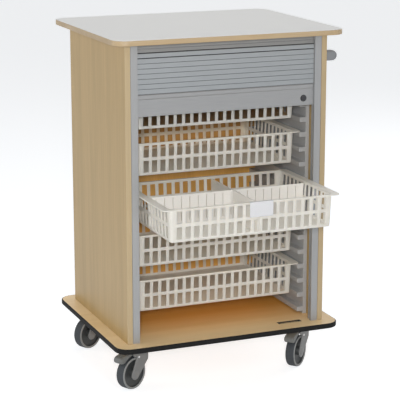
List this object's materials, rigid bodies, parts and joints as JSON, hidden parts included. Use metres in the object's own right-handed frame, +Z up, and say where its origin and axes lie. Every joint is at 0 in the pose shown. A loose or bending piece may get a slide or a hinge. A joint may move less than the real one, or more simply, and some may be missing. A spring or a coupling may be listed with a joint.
{
  "type": "mobile basket storage trolley",
  "caption": "Mobile storage trolley with a roller shutter, slotted baskets that slide on runner walls, a push handle and swivel castors.",
  "frame": {"origin": "on the floor, under the middle of the whole trolley with its basket pulled out", "axes": "+Z up, the open front faces -Y, +X to the right seen from the front"},
  "size_m": [0.782, 0.7944, 1.137],
  "materials": {
    "birch": "birch veneer board with matching edge band, satin lacquer",
    "top_laminate": "light grey laminate, fine matt texture",
    "bumper_rubber": "black soft edge band",
    "guide_aluminium": "natural anodised, satin",
    "shutter_slats": "silver grey, satin",
    "lock_steel": "dark nickel",
    "runner_plastic": "light grey moulded plastic",
    "basket_plastic": "ivory moulded plastic, slightly translucent",
    "divider_plastic": "off-white plastic sheet",
    "label_plastic": "white plastic, plain",
    "handle_plastic": "mid grey moulded plastic",
    "castor_steel": "zinc plated",
    "castor_plastic": "mid grey moulded plastic",
    "hub_plastic": "dark grey moulded plastic",
    "tyre_rubber": "charcoal non-marking rubber"
  },
  "bodies": {
    "cabinet": {"base_plate": "birch", "base_bumper": "bumper_rubber", "lock_keep": "lock_steel", "left_side_panel": "birch", "right_side_panel": "birch", "back_panel": "birch", "inner_back_panel": "birch", "top_plate": "birch", "top_laminate": "top_laminate", "left_shutter_guide": "guide_aluminium", "right_shutter_guide": "guide_aluminium", "left_runner_wall": "runner_plastic", "right_runner_wall": "runner_plastic", "handle_bar": "guide_aluminium", "handle_front_bracket": "handle_plastic", "handle_rear_bracket": "handle_plastic", "front_left_castor_plate": "castor_steel", "front_left_castor_head": "castor_steel", "front_right_castor_plate": "castor_steel", "front_right_castor_head": "castor_steel", "rear_left_castor_plate": "castor_steel", "rear_left_castor_head": "castor_steel", "rear_right_castor_plate": "castor_steel", "rear_right_castor_head": "castor_steel"},
    "shutter": {"shutter_front_curtain": "shutter_slats", "shutter_bottom_rail": "guide_aluminium", "lock_rosette": "lock_steel"},
    "lock": {"lock_barrel": "lock_steel"},
    "upper_curtain": {"shutter_rear_curtain": "shutter_slats"},
    "basket_1": {"basket_1": "basket_plastic"},
    "basket_2": {"basket_2": "basket_plastic"},
    "basket_3": {"basket_3": "basket_plastic", "long_divider": "divider_plastic", "cross_divider": "divider_plastic", "label_clip": "label_plastic"},
    "basket_4": {"basket_4": "basket_plastic"},
    "basket_5": {"basket_5": "basket_plastic"},
    "front_left_castor": {"front_left_castor_fork": "castor_plastic", "front_left_axle": "castor_steel"},
    "front_left_wheel": {"front_left_wheel_hub": "hub_plastic", "front_left_tyre": "tyre_rubber"},
    "front_left_pedal": {"front_left_brake_pedal": "castor_plastic"},
    "front_right_castor": {"front_right_castor_fork": "castor_plastic", "front_right_axle": "castor_steel"},
    "front_right_wheel": {"front_right_wheel_hub": "hub_plastic", "front_right_tyre": "tyre_rubber"},
    "front_right_pedal": {"front_right_brake_pedal": "castor_plastic"},
    "rear_left_castor": {"rear_left_castor_fork": "castor_plastic", "rear_left_axle": "castor_steel"},
    "rear_left_wheel": {"rear_left_wheel_hub": "hub_plastic", "rear_left_tyre": "tyre_rubber"},
    "rear_right_castor": {"rear_right_castor_fork": "castor_plastic", "rear_right_axle": "castor_steel"},
    "rear_right_wheel": {"rear_right_wheel_hub": "hub_plastic", "rear_right_tyre": "tyre_rubber"}
  },
  "joints": [
    {"name": "shutter_slide", "type": "slide", "parent": "cabinet", "child": "shutter", "axis": [0, 0, 1], "range_m": [-0.24, 0]},
    {"name": "upper_curtain_slide", "type": "slide", "parent": "cabinet", "child": "upper_curtain", "axis": [0, 0, 1], "range_m": [-0.0245, 0.0005]},
    {"name": "lock_turn", "type": "hinge", "parent": "shutter", "child": "lock", "pos_m": [0.269, -0.18145, 0.913], "axis": [0, -1, 0], "range_deg": [0, 90]},
    {"name": "basket_1_slide", "type": "slide", "parent": "cabinet", "child": "basket_1", "axis": [0, -1, 0], "range_m": [0, 0.05]},
    {"name": "basket_2_slide", "type": "slide", "parent": "cabinet", "child": "basket_2", "axis": [0, -1, 0], "range_m": [0, 0.3]},
    {"name": "basket_3_slide", "type": "slide", "parent": "cabinet", "child": "basket_3", "axis": [0, -1, 0], "range_m": [-0.284, 0.016]},
    {"name": "basket_4_slide", "type": "slide", "parent": "cabinet", "child": "basket_4", "axis": [0, -1, 0], "range_m": [0, 0.3]},
    {"name": "basket_5_slide", "type": "slide", "parent": "cabinet", "child": "basket_5", "axis": [0, -1, 0], "range_m": [0, 0.3]},
    {"name": "front_left_swivel", "type": "hinge", "parent": "cabinet", "child": "front_left_castor", "pos_m": [-0.2905, -0.14075, 0.143], "axis": [0, 0, 1], "continuous": true},
    {"name": "front_left_wheel_spin", "type": "hinge", "parent": "front_left_castor", "child": "front_left_wheel", "pos_m": [-0.32258, -0.15709, 0.053], "axis": [0.454, -0.891, 0], "continuous": true},
    {"name": "front_left_pedal_press", "type": "hinge", "parent": "front_left_castor", "child": "front_left_pedal", "pos_m": [-0.32258, -0.15709, 0.1185], "axis": [0.454, -0.891, 0], "range_deg": [0, 8]},
    {"name": "front_right_swivel", "type": "hinge", "parent": "cabinet", "child": "front_right_castor", "pos_m": [0.2905, -0.14075, 0.143], "axis": [0, 0, 1], "continuous": true},
    {"name": "front_right_wheel_spin", "type": "hinge", "parent": "front_right_castor", "child": "front_right_wheel", "pos_m": [0.26333, -0.16437, 0.053], "axis": [0.6561, -0.7547, 0], "continuous": true},
    {"name": "front_right_pedal_press", "type": "hinge", "parent": "front_right_castor", "child": "front_right_pedal", "pos_m": [0.26333, -0.16437, 0.1185], "axis": [0.6561, -0.7547, 0], "range_deg": [0, 8]},
    {"name": "rear_left_swivel", "type": "hinge", "parent": "cabinet", "child": "rear_left_castor", "pos_m": [-0.2905, 0.29725, 0.143], "axis": [0, 0, 1], "continuous": true},
    {"name": "rear_left_wheel_spin", "type": "hinge", "parent": "rear_left_castor", "child": "rear_left_wheel", "pos_m": [-0.32258, 0.28091, 0.053], "axis": [0.454, -0.891, 0], "continuous": true},
    {"name": "rear_right_swivel", "type": "hinge", "parent": "cabinet", "child": "rear_right_castor", "pos_m": [0.2905, 0.29725, 0.143], "axis": [0, 0, 1], "continuous": true},
    {"name": "rear_right_wheel_spin", "type": "hinge", "parent": "rear_right_castor", "child": "rear_right_wheel", "pos_m": [0.26333, 0.27363, 0.053], "axis": [0.6561, -0.7547, 0], "continuous": true}
  ],
  "couplings": [
    {"joint": "upper_curtain_slide", "follows": "shutter_slide", "ratio": 0.1}
  ]
}
